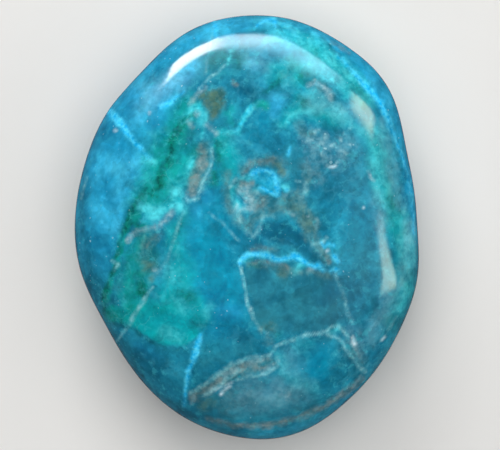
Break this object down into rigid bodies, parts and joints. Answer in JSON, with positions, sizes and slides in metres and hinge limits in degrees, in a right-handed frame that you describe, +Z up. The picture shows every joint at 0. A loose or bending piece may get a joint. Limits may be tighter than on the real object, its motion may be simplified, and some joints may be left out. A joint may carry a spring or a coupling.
{
  "type": "chrysocolla palm stone",
  "caption": "Palm-sized polished chrysocolla stone: an uneven oval pebble with a low domed top, full rounded shoulders and a small flat foot to lie on.",
  "frame": {"origin": "on the resting surface, under the middle of the stone's bounding box", "axes": "+Z up from the flat foot to the domed top, +Y along the stone's length, +X across its width"},
  "size_m": [0.0518, 0.064, 0.022],
  "materials": {
    "chrysocolla": "high polish, teal blue with green, tan and bright blue markings"
  },
  "bodies": {
    "root": {"stone": "chrysocolla"}
  },
  "joints": []
}
